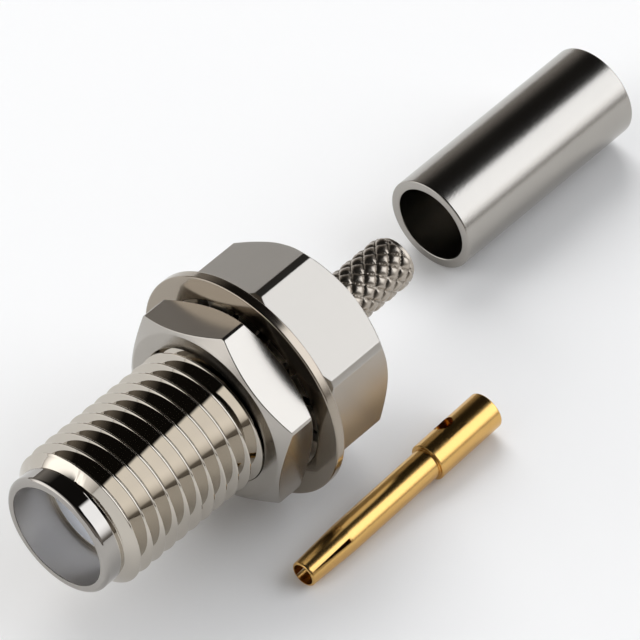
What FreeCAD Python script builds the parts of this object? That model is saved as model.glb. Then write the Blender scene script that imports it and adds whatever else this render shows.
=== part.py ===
"""Coaxial bulkhead jack with its panel nut, lock washer, crimp ferrule and loose centre contact.

All turned pieces share one local frame: their axis is local Z, measured in millimetres from the front
face of the nose. The jack lies on its side, so local Z points along +Y of the model. The model's origin is
the centre of the socket's mouth, and the surface that the pieces lie on is the washer's radius below it.
"""

import FreeCAD
import Part
import Sketcher

import os
import re
import sys

Vector = FreeCAD.Vector

# Driving sizes, in millimetres and degrees. Each one is written once, here.
SIZES = [
    ("thread_radius", 3.175, "outside of the thread"),
    ("thread_pitch", 0.70556, "36 turns to the inch"),
    ("thread_crest_flat", 0.176, "flat on top of the ridge, a quarter of the pitch"),
    ("thread_flank_slope", 0.57735, "half angle of 30 degrees"),
    ("thread_first_groove", 0.34, "where the groove crosses the local XZ plane first"),
    ("thread_play", 0.08, "radial play between the nut and the thread"),
    ("thread_overrun", 0.03, "how far a groove's outline reaches past the surface"),
    ("nose_radius", 2.71, "smooth nose ahead of the thread"),
    ("nose_length", 0.79, "up to the lead-in of the thread"),
    ("nose_lip", 0.12, "bevel of the front lip"),
    ("lead_in_length", 0.41, "cone from the nose to the thread"),
    ("socket_radius", 2.33, "bore that a plug enters"),
    ("socket_depth", 1.9, "down to the ledge"),
    ("relief_radius", 2.68, "run-out groove behind the thread"),
    ("relief_length", 0.71, "width of that groove"),
    ("thread_end", 11.19, "front face of the hexagon"),
    ("hex_across_flats", 8.13, "hexagon of the body"),
    ("hex_corner_radius", 4.6, "cylinder that trims the corners"),
    ("hex_length", 3.71, "front face to rear face"),
    ("hex_front_bevel", 0.43, "bevel of the corners in front"),
    ("hex_rear_bevel", 0.4, "bevel of the corners behind"),
    ("hex_bevel_drop", 0.54, "how far a bevel cuts in from the corner cylinder"),
    ("hex_turn", -28.9, "turn of the hexagon about the axis"),
    ("barrel_radius", 1.165, "crimp barrel over the knurl"),
    ("barrel_length", 5.1, "behind the hexagon"),
    ("barrel_bevel", 0.16, "bevel at the rear end"),
    ("insulator_radius", 2.08, "plastic sleeve in the body"),
    ("insulator_length", 9.5, "from the ledge to its shoulder"),
    ("fit_play", 0.01, "radial play of the sleeve in the body"),
    ("slip_play", 0.05, "radial play round the contact"),
    ("nut_across_flats", 8.05, "panel nut"),
    ("nut_corner_radius", 4.61, "cylinder that trims the corners"),
    ("nut_thickness", 1.98, "face to face"),
    ("nut_bevel_drop", 0.72, "how far a bevel cuts in from the corner cylinder"),
    ("nut_bevel_length", 0.41, "height of each bevel"),
    ("nut_crest_flat", 0.06, "flat on top of the nut's own ridge"),
    ("nut_countersink", 0.36, "cone at each mouth of the nut"),
    ("nut_turn", -21.7, "turn of the nut about the axis"),
    ("seat_play", 0.02, "axial play at each face of the washer"),
    ("washer_radius", 5.19, "outside of the lock washer"),
    ("washer_ring_radius", 4.08, "inside of its ring"),
    ("washer_thickness", 0.44, "sheet of the washer"),
    ("washer_root_overlap", 0.08, "how far each tooth starts inside the ring, and stays flat outside it"),
    ("washer_tooth_radius", 3.36, "tip circle of the teeth"),
    ("washer_root_width", 1.05, "tooth at the ring"),
    ("washer_tip_width", 0.71, "tooth at its tip"),
    ("washer_tooth_lift", 0.094, "how far the sides of a tip rise or fall out of the sheet"),
    ("washer_teeth", 15, "how many"),
    ("washer_turn", -11.6, "turn of its teeth about the axis"),
    ("ferrule_radius", 2.14, "outside of the crimp tube"),
    ("ferrule_wall", 0.43, "its wall"),
    ("ferrule_length", 10.45, "end to end"),
    ("ferrule_x", -2.07, "place of its axis"),
    ("ferrule_y", 24.52, "place of its front rim"),
    ("contact_tip_radius", 0.576, "closed tip of the spring fingers"),
    ("contact_radius", 0.684, "shaft"),
    ("contact_taper_length", 2.39, "from the tip to the full shaft"),
    ("contact_shaft_length", 7.56, "from the tip to the crimp pot"),
    ("contact_pot_radius", 0.849, "crimp pot"),
    ("contact_length", 11.22, "tip to rear"),
    ("contact_edge", 0.07, "bevel of its tip"),
    ("contact_socket_radius", 0.48, "bore that a pin enters"),
    ("contact_socket_depth", 3.2, "how deep that bore is"),
    ("contact_pot_bore", 0.58, "bore for the wire"),
    ("contact_pot_depth", 3.1, "how deep that bore is"),
    ("contact_slot_width", 0.19, "slot at its blunt end"),
    ("contact_slot_pinch", 0.02, "slot at the tip"),
    ("contact_slot_length", 2.29, "slots between the fingers"),
    ("contact_slot_turn", -40.5, "turn of the slots about the axis"),
    ("contact_hole_radius", 0.43, "inspection hole of the crimp pot"),
    ("contact_hole_place", 1.56, "behind the shoulder"),
    ("contact_hole_turn", -127.0, "turn of the inspection hole about the axis"),
    ("contact_x", 5.816, "place of its tip"),
    ("contact_y", 7.885, "place of its tip"),
    ("contact_yaw", 0.52, "turn of the contact on the floor"),
]

# Sizes that follow from the driving ones, as formulas of the sheet.
DERIVED = [
    ("ground", "-washer_radius", "the surface that the washer's rim rests on"),
    (
        "thread_root_radius",
        "thread_radius - (thread_pitch - thread_crest_flat) / 2 / thread_flank_slope",
        "bottom of the groove",
    ),
    ("hex_rear", "thread_end + hex_length", "rear face of the hexagon"),
    ("barrel_end", "hex_rear + barrel_length", "rear end of the barrel"),
    ("cable_bore", "contact_pot_radius + slip_play", "radius that lets the contact in"),
    ("sleeve_bore", "contact_radius + slip_play", "radius of the sleeve's front hole"),
    ("shoulder", "socket_depth + insulator_length", "where the sleeve's seat is"),
    ("contact_stop", "socket_depth + contact_shaft_length", "where the contact's shoulder seats"),
    ("washer_rise", "washer_thickness + 2 * washer_tooth_lift", "height over the twisted teeth"),
    ("washer_middle", "thread_end - seat_play - washer_rise / 2", "middle plane of the washer"),
    ("nut_rear", "washer_middle - washer_rise / 2 - seat_play", "rear face of the nut"),
    ("nut_front", "nut_rear - nut_thickness", "front face of the nut"),
    (
        "nut_root_radius",
        "thread_radius + thread_crest_flat / 2 / thread_flank_slope + thread_play",
        "root of the nut's own thread",
    ),
    (
        "nut_bore",
        "nut_root_radius - (thread_pitch - nut_crest_flat) / 2 / thread_flank_slope",
        "crest of the nut's own thread",
    ),
    (
        "contact_dip",
        "atan((contact_pot_radius - contact_tip_radius) / contact_shaft_length) / 1deg",
        "the loose contact lies on its tip and the edge of its pot",
    ),
    (
        "nut_skipped_turns",
        "floor((nut_front - thread_first_groove) / thread_pitch - 1.5)",
        "turns of the body's thread ahead of the nut's own",
    ),
    (
        "nut_first_groove",
        "thread_first_groove + thread_pitch * (nut_skipped_turns + 0.5)",
        "the nut's groove lies on the ridge of the body",
    ),
]


def fill_sheet(doc):
    """Make the sheet of sizes: name, value and note in a row each, the value under an alias."""
    sheet = doc.addObject("Spreadsheet::Sheet", "sizes")
    for row, (name, value, note) in enumerate(SIZES + DERIVED, start=1):
        sheet.set(f"A{row}", name)
        sheet.set(f"B{row}", str(value) if not isinstance(value, str) else f"={value}")
        sheet.set(f"C{row}", note)
        sheet.setAlias(f"B{row}", name)
    doc.recompute()
    return sheet


def in_sheet(formula):
    """Put the sheet's name before each alias of a formula."""
    names = {name for name, _, _ in SIZES + DERIVED}
    return re.sub(r"[a-z_]+", lambda word: f"sizes.{word[0]}" if word[0] in names else word[0], formula)


def size(owner, formula):
    """The number that a formula of the sheet gives now."""
    value = owner.evalExpression(in_sheet(formula))
    return float(getattr(value, "Value", value))


def new_body(doc, name):
    """A body with its label, which also names its file."""
    body = doc.addObject("PartDesign::Body", name)
    body.Label = name
    return body


def new_sketch(body, name, role, lift=None, turn=None, hinge=Vector(0, 0, 1)):
    """A sketch on one of the body's own planes, lifted and turned about a hinge line by formulas."""
    sketch = body.newObject("Sketcher::SketchObject", name)
    plane = next(p for p in body.Origin.OriginFeatures if p.Role == role)
    sketch.AttachmentSupport = [(plane, "")]
    sketch.MapMode = "FlatFace"
    if turn:
        turned = FreeCAD.Rotation(hinge, size(sketch, turn))
        sketch.AttachmentOffset = FreeCAD.Placement(Vector(), turned)
        sketch.setExpression("AttachmentOffset.Rotation.Angle", f"({in_sheet(turn)}) * 1deg")
    if lift:
        sketch.setExpression("AttachmentOffset.Base.z", in_sheet(lift))
    return sketch


def pin_point(sketch, geometry, end, across, up):
    """Hold one end of a line at the place that two formulas give."""
    for kind, axis, formula in (("DistanceX", -2, across), ("DistanceY", -1, up)):
        if formula == "0":
            sketch.addConstraint(Sketcher.Constraint("PointOnObject", geometry, end, axis))
        else:
            now = size(sketch, formula)
            rule = sketch.addConstraint(Sketcher.Constraint(kind, -1, 1, geometry, end, now))
            sketch.setExpression(f"Constraints[{rule}]", in_sheet(formula))


def draw_outline(sketch, corners):
    """A closed outline through corners, each a pair of formulas."""
    places = [Vector(size(sketch, a), size(sketch, b), 0) for a, b in corners]
    lines = []
    for start, end in zip(places, places[1:] + places[:1], strict=True):
        lines.append(sketch.addGeometry(Part.LineSegment(start, end)))
    for line, after in zip(lines, lines[1:] + lines[:1], strict=True):
        sketch.addConstraint(Sketcher.Constraint("Coincident", line, 2, after, 1))
    for line, (across, up) in zip(lines, corners, strict=True):
        pin_point(sketch, line, 1, across, up)


def draw_circle(sketch, radius, across="0", up="0"):
    """A circle whose centre and radius are formulas."""
    middle = Vector(size(sketch, across), size(sketch, up), 0)
    circle = sketch.addGeometry(Part.Circle(middle, Vector(0, 0, 1), size(sketch, radius)))
    rule = sketch.addConstraint(Sketcher.Constraint("Radius", circle, size(sketch, radius)))
    sketch.setExpression(f"Constraints[{rule}]", in_sheet(radius))
    pin_point(sketch, circle, 3, across, up)


def draw_hexagon(sketch, across_flats):
    """A regular hexagon about the origin, with one corner on the sketch's X axis."""
    corner = f"{across_flats} / sqrt(3)"
    corners = []
    for step in range(6):
        corners.append((f"{corner} * cos({60 * step}deg)", f"{corner} * sin({60 * step}deg)"))
    corners[0] = (corner, "0")
    corners[3] = (f"-{corner}", "0")
    draw_outline(sketch, corners)


def revolve(body, name, corners):
    """Turn a closed outline, given as radius and height, round the body's axis."""
    sketch = new_sketch(body, f"{name}_outline", "XZ_Plane")
    draw_outline(sketch, corners)
    turned = body.newObject("PartDesign::Revolution", name)
    turned.Profile = sketch
    turned.ReferenceAxis = (sketch, ["V_Axis"])
    turned.Angle = 360
    sketch.Document.recompute()
    return turned


def trim_to_hexagon(body, name, across_flats, length, top, turn):
    """Mill six flats on a round blank, down from the height top."""
    sketch = new_sketch(body, f"{name}_outline", "XY_Plane", lift=top, turn=turn)
    draw_hexagon(sketch, across_flats)
    draw_circle(sketch, f"2 * {across_flats}")
    flats = body.newObject("PartDesign::Pocket", name)
    flats.Profile = sketch
    flats.setExpression("Length", in_sheet(length))
    sketch.Document.recompute()
    return flats


def cut_thread(body, name, corners, height):
    """Carry a groove's outline along the right-handed helix of the thread."""
    sketch = new_sketch(body, f"{name}_outline", "XZ_Plane")
    draw_outline(sketch, corners)
    sketch.Document.recompute()
    groove = body.newObject("PartDesign::SubtractiveHelix", name)
    groove.Profile = sketch
    groove.ReferenceAxis = (sketch, ["V_Axis"])
    groove.Mode = "pitch-height-angle"
    groove.setExpression("Pitch", in_sheet("thread_pitch"))
    groove.setExpression("Height", in_sheet(height))
    sketch.Document.recompute()
    return groove


def make_connector_body(doc):
    """Nose, threaded barrel, hexagon and crimp barrel, turned from one bar."""
    body = new_body(doc, "connector_body")
    bevel_in = "hex_corner_radius - hex_bevel_drop"
    revolve(
        body,
        "turned_bar",
        [
            ("socket_radius", "0"),
            ("nose_radius - nose_lip", "0"),
            ("nose_radius", "nose_lip"),
            ("nose_radius", "nose_length"),
            ("thread_radius", "nose_length + lead_in_length"),
            ("thread_radius", "thread_end - relief_length"),
            ("relief_radius", "thread_end - relief_length"),
            ("relief_radius", "thread_end"),
            (bevel_in, "thread_end"),
            ("hex_corner_radius", "thread_end + hex_front_bevel"),
            ("hex_corner_radius", "hex_rear - hex_rear_bevel"),
            (bevel_in, "hex_rear"),
            ("barrel_radius", "hex_rear"),
            ("barrel_radius", "barrel_end - barrel_bevel"),
            ("barrel_radius - barrel_bevel", "barrel_end"),
            ("cable_bore", "barrel_end"),
            ("cable_bore", "shoulder"),
            ("insulator_radius + fit_play", "shoulder"),
            ("insulator_radius + fit_play", "socket_depth"),
            ("socket_radius", "socket_depth"),
        ],
    )
    trim_to_hexagon(body, "hex_flats", "hex_across_flats", "hex_length", "hex_rear", "hex_turn")
    outside = "(thread_radius + thread_overrun)"
    half_mouth = f"({outside} - thread_root_radius) * thread_flank_slope"
    cut_thread(
        body,
        "thread",
        [
            ("thread_root_radius", "thread_first_groove"),
            (outside, f"thread_first_groove - {half_mouth}"),
            (outside, f"thread_first_groove + {half_mouth}"),
        ],
        "thread_end - relief_length / 2 - thread_first_groove",
    )
    return body


def make_insulator(doc):
    """White sleeve behind the ledge, with a stepped hole for the contact."""
    body = new_body(doc, "insulator")
    revolve(
        body,
        "sleeve",
        [
            ("sleeve_bore", "socket_depth"),
            ("insulator_radius", "socket_depth"),
            ("insulator_radius", "shoulder"),
            ("cable_bore", "shoulder"),
            ("cable_bore", "contact_stop"),
            ("sleeve_bore", "contact_stop"),
        ],
    )
    return body


def make_hex_nut(doc):
    """Thin panel nut, bevelled on both faces, with its own thread on the ridge of the body."""
    body = new_body(doc, "hex_nut")
    bevel_in = "nut_corner_radius - nut_bevel_drop"
    mouth = "nut_bore + nut_countersink"
    revolve(
        body,
        "nut_blank",
        [
            (mouth, "nut_front"),
            (bevel_in, "nut_front"),
            ("nut_corner_radius", "nut_front + nut_bevel_length"),
            ("nut_corner_radius", "nut_rear - nut_bevel_length"),
            (bevel_in, "nut_rear"),
            (mouth, "nut_rear"),
            ("nut_bore", "nut_rear - nut_countersink"),
            ("nut_bore", "nut_front + nut_countersink"),
        ],
    )
    trim_to_hexagon(body, "nut_flats", "nut_across_flats", "nut_thickness", "nut_rear", "nut_turn")
    inside = "(nut_bore - thread_overrun)"
    half_mouth = f"(nut_root_radius - {inside}) * thread_flank_slope"
    cut_thread(
        body,
        "nut_thread",
        [
            ("nut_root_radius", "nut_first_groove"),
            (inside, f"nut_first_groove + {half_mouth}"),
            (inside, f"nut_first_groove - {half_mouth}"),
        ],
        "nut_thickness + 3 * thread_pitch",
    )
    return body


def make_lock_washer(doc):
    """Flat stamped ring with teeth on its inside, each twisted out of the sheet."""
    body = new_body(doc, "lock_washer")
    low = "washer_middle - washer_thickness / 2"
    high = "washer_middle + washer_thickness / 2"
    revolve(
        body,
        "ring",
        [
            ("washer_ring_radius", low),
            ("washer_radius", low),
            ("washer_radius", high),
            ("washer_ring_radius", high),
        ],
    )
    sections = []
    for name, width, radius, lift in (
        ("tooth_root", "washer_root_width", "washer_ring_radius + washer_root_overlap", "0"),
        ("tooth_neck", "washer_root_width", "washer_ring_radius - washer_root_overlap", "0"),
        ("tooth_tip", "washer_tip_width", "washer_tooth_radius", "washer_tooth_lift"),
    ):
        sketch = new_sketch(body, name, "YZ_Plane", lift=radius)
        sketch.setExpression("AttachmentOffset.Base.y", in_sheet("washer_middle"))
        half = "washer_thickness / 2"
        draw_outline(
            sketch,
            [
                (f"-{width} / 2", f"-{half} - {lift}"),
                (f"{width} / 2", f"{lift} - {half}"),
                (f"{width} / 2", f"{lift} + {half}"),
                (f"-{width} / 2", f"{half} - {lift}"),
            ],
        )
        sections.append(sketch)
    doc.recompute()
    tooth = body.newObject("PartDesign::AdditiveLoft", "tooth")
    tooth.Profile = sections[0]
    tooth.Sections = sections[1:]
    tooth.Ruled = True
    doc.recompute()
    teeth = body.newObject("PartDesign::PolarPattern", "teeth")
    teeth.Originals = [tooth]
    teeth.Axis = (next(a for a in body.Origin.OriginFeatures if a.Role == "Z_Axis"), [""])
    teeth.Angle = 360
    teeth.setExpression("Occurrences", in_sheet("washer_teeth"))
    body.Tip = teeth
    doc.recompute()
    return body


def make_crimp_ferrule(doc):
    """Thin drawn tube that is crimped over the barrel and the braid."""
    body = new_body(doc, "crimp_ferrule")
    inner = "ferrule_radius - ferrule_wall"
    revolve(
        body,
        "tube",
        [
            (inner, "0"),
            ("ferrule_radius", "0"),
            ("ferrule_radius", "ferrule_length"),
            (inner, "ferrule_length"),
        ],
    )
    return body


def make_center_contact(doc):
    """Gold contact: slotted, tapered socket in front, crimp pot with an inspection hole behind."""
    body = new_body(doc, "center_contact")
    pot_floor = "contact_length - contact_pot_depth"
    revolve(
        body,
        "turned_pin",
        [
            ("contact_socket_radius", "0"),
            ("contact_tip_radius - contact_edge", "0"),
            ("contact_tip_radius", "contact_edge"),
            ("contact_radius", "contact_taper_length"),
            ("contact_radius", "contact_shaft_length"),
            ("contact_pot_radius", "contact_shaft_length"),
            ("contact_pot_radius", "contact_length"),
            ("contact_pot_bore", "contact_length"),
            ("contact_pot_bore", pot_floor),
            ("0", pot_floor),
            ("0", "contact_socket_depth"),
            ("contact_socket_radius", "contact_socket_depth"),
        ],
    )
    along = Vector(0, 1, 0)
    sketch = new_sketch(body, "slot_outline", "XZ_Plane", turn="90 + contact_slot_turn", hinge=along)
    draw_outline(
        sketch,
        [
            ("-contact_slot_pinch / 2", "0"),
            ("contact_slot_pinch / 2", "0"),
            ("contact_slot_width / 2", "contact_slot_length"),
            ("-contact_slot_width / 2", "contact_slot_length"),
        ],
    )
    doc.recompute()
    slots = body.newObject("PartDesign::Pocket", "slots")
    slots.Profile = sketch
    slots.Midplane = True
    slots.setExpression("Length", in_sheet("4 * contact_radius"))
    doc.recompute()
    sketch = new_sketch(body, "hole_outline", "XZ_Plane", turn="90 + contact_hole_turn", hinge=along)
    draw_circle(sketch, "contact_hole_radius", up="contact_shaft_length + contact_hole_place")
    doc.recompute()
    hole = body.newObject("PartDesign::Pocket", "inspection_hole")
    hole.Profile = sketch
    hole.Reversed = True
    hole.setExpression("Length", in_sheet("2 * contact_pot_radius"))
    doc.recompute()
    return body


def lay_down(part, across, along, height, yaw="0", pitch="0", roll="0"):
    """Place a piece with local Z along +Y, rolled about it, dipped in front by pitch and turned by yaw."""
    turn = FreeCAD.Rotation(Vector(0, 0, 1), size(part, yaw))
    turn = turn.multiply(FreeCAD.Rotation(Vector(1, 0, 0), size(part, pitch) - 90))
    turn = turn.multiply(FreeCAD.Rotation(Vector(0, 0, 1), size(part, roll)))
    part.Placement = FreeCAD.Placement(Vector(), turn)
    for direction, formula in (("x", across), ("y", along), ("z", height)):
        part.setExpression(f"Placement.Base.{direction}", in_sheet(formula))


def check_and_write(doc, pieces):
    """Stop at any failed object or bad shape, then write one file for each piece."""
    for item in doc.Objects:
        if "Invalid" in item.State or "Error" in item.State:
            sys.exit(f"{item.Name} failed: {item.State}")
    os.makedirs("parts", exist_ok=True)
    for piece in pieces:
        shape = piece.Shape
        if shape.isNull() or not shape.isValid() or len(shape.Solids) != 1:
            sys.exit(f"{piece.Label} has a bad shape")
        shape.exportStep(f"parts/{piece.Label}.step")
        print(f"{piece.Label}: {shape.Volume:.3f} mm3, {len(shape.Faces)} faces")


def main():
    """Build every piece, lay it in its place and write it."""
    doc = FreeCAD.newDocument("bulkhead_jack")
    fill_sheet(doc)
    connector_body = make_connector_body(doc)
    insulator = make_insulator(doc)
    hex_nut = make_hex_nut(doc)
    lock_washer = make_lock_washer(doc)
    crimp_ferrule = make_crimp_ferrule(doc)
    center_contact = make_center_contact(doc)
    for piece in (connector_body, insulator, hex_nut):
        lay_down(piece, "0", "0", "0")
    lay_down(lock_washer, "0", "0", "0", roll="washer_turn")
    lay_down(crimp_ferrule, "ferrule_x", "ferrule_y", "ground + ferrule_radius")
    lay_down(
        center_contact,
        "contact_x",
        "contact_y",
        "ground + contact_tip_radius * cos(contact_dip * 1deg)",
        yaw="contact_yaw",
        pitch="contact_dip",
    )
    doc.recompute()
    pieces = (connector_body, insulator, hex_nut, lock_washer, crimp_ferrule, center_contact)
    check_and_write(doc, pieces)


main()
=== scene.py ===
"""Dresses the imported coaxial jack: turned nickel, a threaded barrel, stamped washer and gold contact.

Every piece is worked out with numpy in millimetres in the frame's own axes: +Y runs along the jack from its
nose to its crimp barrel, and the origin is the centre of the nose's front face. A point of a turned piece is
given by its radius and its place along the axis, carried round by an angle measured from +X towards +Z.
"""

import logging
import math
from collections.abc import Callable, Sequence
from dataclasses import dataclass, field
from enum import Enum
from typing import ClassVar

import bpy
import numpy as np
from mathutils import Matrix, Vector

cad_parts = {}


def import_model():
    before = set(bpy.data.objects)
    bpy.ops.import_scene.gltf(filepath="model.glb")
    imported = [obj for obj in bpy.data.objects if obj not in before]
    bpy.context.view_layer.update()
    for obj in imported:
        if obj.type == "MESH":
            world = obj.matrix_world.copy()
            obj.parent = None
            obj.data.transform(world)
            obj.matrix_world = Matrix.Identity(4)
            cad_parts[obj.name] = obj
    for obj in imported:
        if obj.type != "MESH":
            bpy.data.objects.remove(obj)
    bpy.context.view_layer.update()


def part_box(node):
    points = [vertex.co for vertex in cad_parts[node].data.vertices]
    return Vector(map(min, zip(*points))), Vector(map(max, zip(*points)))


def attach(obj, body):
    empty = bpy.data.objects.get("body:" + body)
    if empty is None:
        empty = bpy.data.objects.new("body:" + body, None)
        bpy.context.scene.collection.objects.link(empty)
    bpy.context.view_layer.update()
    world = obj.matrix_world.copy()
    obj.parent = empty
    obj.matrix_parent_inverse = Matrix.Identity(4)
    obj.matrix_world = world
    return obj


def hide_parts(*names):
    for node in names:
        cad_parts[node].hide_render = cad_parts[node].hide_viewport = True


LOG = logging.getLogger("jack")
MM = 0.001
WELD_MM = 1e-4
FULL_TURN = 2 * math.pi
QUARTER_TURN = math.pi / 2

GROUND = -5.19
THREAD_PITCH = 0.70556
EDGE_BREAK = 0.03
CREASE_DEGREES = 38.0
COOL_WHITE = (0.97, 1.0, 1.05)
NICKEL = (0.44, 0.415, 0.38)

Array = np.ndarray
Colour = tuple[float, float, float]
Pair = tuple[float, float]
Profile = Sequence[Pair]
Socket = bpy.types.NodeSocket
UP = Vector((0.0, 0.0, 1.0))


class Zone(Enum):
    """The finishes that one mesh can carry side by side, by the index of their material."""

    OUTER = 0
    FLATS = 1
    BORE = 2
    KNURL = 3
    NOSE = 4


@dataclass(frozen=True)
class Patch:
    """A grid of points that becomes faces.

    Args:
        points: rows by columns by three, in millimetres. Rows run along a profile whose outside lies to
            the left, and columns with the angle, so that faces point outwards.
        zone: the finish of its faces.
        closed: whether the last column joins the first.
    """

    points: Array
    zone: Zone = Zone.OUTER
    closed: bool = True


@dataclass(frozen=True)
class Placement:
    """Where a piece made in the jack's axes is laid.

    Args:
        shift: the place of its front centre, in millimetres.
        yaw: turn about the vertical, in degrees.
        dip: how far its front points down, in degrees.
    """

    shift: tuple[float, float, float] = (0.0, 0.0, 0.0)
    yaw: float = 0.0
    dip: float = 0.0

    def matrix(self) -> Array:
        """The turn as a 3 by 3 array: first the dip about X, then the yaw about Z."""
        yaw, dip = math.radians(self.yaw), math.radians(self.dip)
        c, s, d, t = math.cos(yaw), math.sin(yaw), math.cos(dip), math.sin(dip)
        return np.array([[c, -s, 0], [s, c, 0], [0, 0, 1]]) @ np.array([[1, 0, 0], [0, d, -t], [0, t, d]])

    def apply(self, points: Array) -> Array:
        """Turn and shift points, in millimetres."""
        return points @ self.matrix().T + np.array(self.shift)


def polar(radius: Array | float, along: Array | float, angles: Array) -> Array:
    """Points of one broadcast shape: x = r cos a, y = along, z = r sin a."""
    radius, along, turn = np.broadcast_arrays(radius, along, angles)
    return np.stack([radius * np.cos(turn), along, radius * np.sin(turn)], axis=-1)


def around(radius: Array, along: Array, angles: Array) -> Array:
    """Carry a profile round the axis.

    Args:
        radius: rows, or rows by angles.
        along: the same shape as radius.
        angles: the angle of each column, in radians.

    Returns:
        A grid of points, rows by angles by three.
    """
    if radius.ndim == 1:
        radius, along = radius[:, None], along[:, None]
    return polar(radius, along, angles)


def rounded(corners: Array, reach: float, steps: int = 4) -> Array:
    """Round the inner corners of a polyline.

    Each corner becomes a quadratic arc that starts and ends at the reach from it, or at two fifths of the
    shorter side if that is less. A point just outside each end keeps the shading of the flats flat.

    Args:
        corners: corners by anything by two: radius and place along the axis.
        reach: how far from the corner the arc starts, in millimetres.
        steps: how many pieces an arc has.

    Returns:
        The rounded polyline, points by anything by two.
    """
    before, corner, after = corners[:-2], corners[1:-1], corners[2:]
    sides = [before - corner, after - corner]
    lengths = [np.linalg.norm(side, axis=-1, keepdims=True) for side in sides]
    start = np.minimum(reach, 0.4 * np.minimum(*lengths))
    units = [side / np.maximum(length, 1e-9) for side, length in zip(sides, lengths, strict=True)]
    near = [corner + unit * start for unit in units]
    held = [corner + unit * start * 1.2 for unit in units]
    share = np.linspace(0, 1, steps + 1).reshape((-1, 1) + (1,) * (corners.ndim - 1))
    arc = (1 - share) ** 2 * near[0] + 2 * share * (1 - share) * corner + share**2 * near[1]
    points = np.concatenate([held[0][None], arc, held[1][None]])
    points = np.moveaxis(points, 0, 1).reshape((-1,) + corners.shape[1:])
    return np.concatenate([corners[:1], points, corners[-1:]])


def turned(profile: Profile, reach: float, angles: Array, steps: int = 4) -> Array:
    """Spin a rounded profile of radius and place along the axis; returns a grid of points."""
    line = rounded(np.array(profile, float), reach, steps)
    return around(line[:, 0], line[:, 1], angles)


def ring_section(profile: Profile, reach: float, angles: Array, steps: int = 4) -> Array:
    """Spin a closed profile whose last corner joins the first, all corners rounded."""
    start = (np.array(profile[0], float) + np.array(profile[-1], float)) / 2
    return turned([tuple(start), *profile, tuple(start)], reach, angles, steps)


def even_angles(count: int) -> Array:
    """Equal steps round the axis, without the end."""
    return np.linspace(0, FULL_TURN, count, endpoint=False)


@dataclass(frozen=True)
class Hexagon:
    """A hexagonal bar whose corners are trimmed by a cylinder and whose ends are bevelled on a cone.

    Args:
        across_flats: face to face, in millimetres.
        corner_radius: the cylinder that trims the corners.
        corner_turn: the angle of one corner, in degrees.
        bevel_drop: how far inside that cylinder a bevel leaves the end face.
        softness: how far below the cylinder a flat starts to pass into it.
    """

    across_flats: float
    corner_radius: float
    corner_turn: float
    bevel_drop: float
    softness: float = 0.015

    @property
    def half_trim(self) -> float:
        """The angle from a corner to where a flat meets the cylinder."""
        return math.pi / 6 - math.acos(self.across_flats / 2 / self.corner_radius)

    @property
    def face_radius(self) -> float:
        """The radius at which the end faces pass into their bevels."""
        return self.corner_radius - self.bevel_drop

    def from_corner(self, angles: Array) -> Array:
        """The angle from the nearest corner, without sign."""
        sixth = FULL_TURN / 6
        offset = (angles - math.radians(self.corner_turn)) % sixth
        return np.minimum(offset, sixth - offset)

    def radius(self, angles: Array) -> Array:
        """Soft minimum of the cylinder and the flat: half the flats over the cosine from its middle."""
        flat = self.across_flats / 2 / np.cos(math.pi / 6 - self.from_corner(angles))
        near = np.maximum(self.softness - np.abs(flat - self.corner_radius), 0) / self.softness
        return np.minimum(flat, self.corner_radius) - self.softness / 4 * near**2

    def angles(self, count: int) -> Array:
        """Even steps, with finer ones at each corner, where the flats pass into the cylinder."""
        blend = self.softness / (self.corner_radius * math.tan(math.pi / 6 - self.half_trim))
        even = even_angles(count)
        even = even[self.from_corner(even) > self.half_trim + 2.5 * blend]
        beside = self.half_trim + blend * np.array([-1.0, -0.5, 0.0, 0.5, 1.0, 2.0])
        steps = np.concatenate([-beside[::-1], [0.0], beside])
        corners = math.radians(self.corner_turn) + np.arange(6)[:, None] * FULL_TURN / 6
        return np.sort(np.concatenate([even, ((corners + steps) % FULL_TURN).ravel()]))

    def block(self, faces: Pair, starts: Pair, bevels: Pair, angles: Array) -> Array:
        """The bar from the inside of its front face to the inside of its rear face.

        Args:
            faces: place of the front and of the rear face.
            starts: the radius from which each face begins.
            bevels: length of each bevel at the trimmed corners: it grows with the outline's radius.
            angles: the angle of each column.

        Returns:
            A grid of points, rows by angles by three.
        """
        flat = self.radius(angles)
        rise = np.maximum(flat - self.face_radius, 0) / self.bevel_drop
        front = [(starts[0], faces[0]), (self.face_radius, faces[0]), (flat, faces[0] + bevels[0] * rise)]
        rear = [(flat, faces[1] - bevels[1] * rise), (self.face_radius, faces[1]), (starts[1], faces[1])]
        rows = [np.stack(np.broadcast_arrays(*station, flat)[:2], axis=-1) for station in front + rear]
        line = rounded(np.array(rows), EDGE_BREAK)
        return around(line[..., 0], line[..., 1], angles)


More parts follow.
